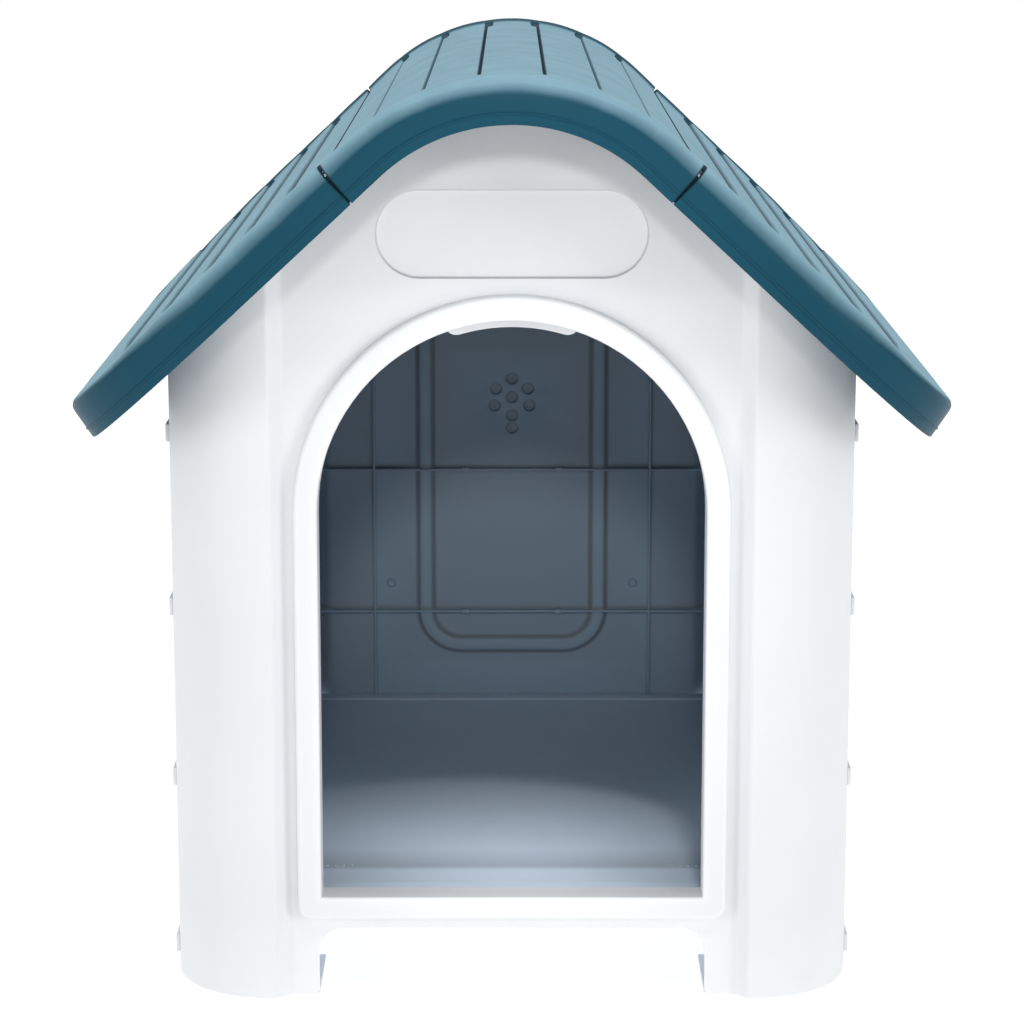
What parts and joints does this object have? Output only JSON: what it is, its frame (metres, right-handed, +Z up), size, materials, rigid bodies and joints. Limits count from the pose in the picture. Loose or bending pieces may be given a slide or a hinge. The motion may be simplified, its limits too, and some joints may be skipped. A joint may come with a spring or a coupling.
{
  "type": "plastic animal hutch",
  "caption": "Snap-together moulded hutch with an arched doorway, round corner columns, a floor tray and a planked curved-ridge roof that lifts off.",
  "frame": {"origin": "centre of the footprint, on the ground", "axes": "+Z up, the doorway faces -Y, the ridge runs along Y, +X is to the right seen from the front"},
  "size_m": [0.6074, 0.75, 0.6536],
  "materials": {
    "wall_white": "fine satin moulded polypropylene",
    "floor_white": "satin moulded polypropylene",
    "roof_teal": "satin moulded polypropylene with moulded planks"
  },
  "bodies": {
    "house": {"front_panel": "wall_white", "rear_panel": "wall_white", "side_panel_left": "wall_white", "side_panel_right": "wall_white", "door_surround": "wall_white", "floor_tray": "floor_white"},
    "roof": {"roof_ridge_cap": "roof_teal", "roof_slope_left": "roof_teal", "roof_slope_right": "roof_teal"}
  },
  "joints": [
    {"name": "roof_lift", "type": "slide", "parent": "house", "child": "roof", "axis": [0, 0, 1], "range_m": [0, 0.25]}
  ]
}
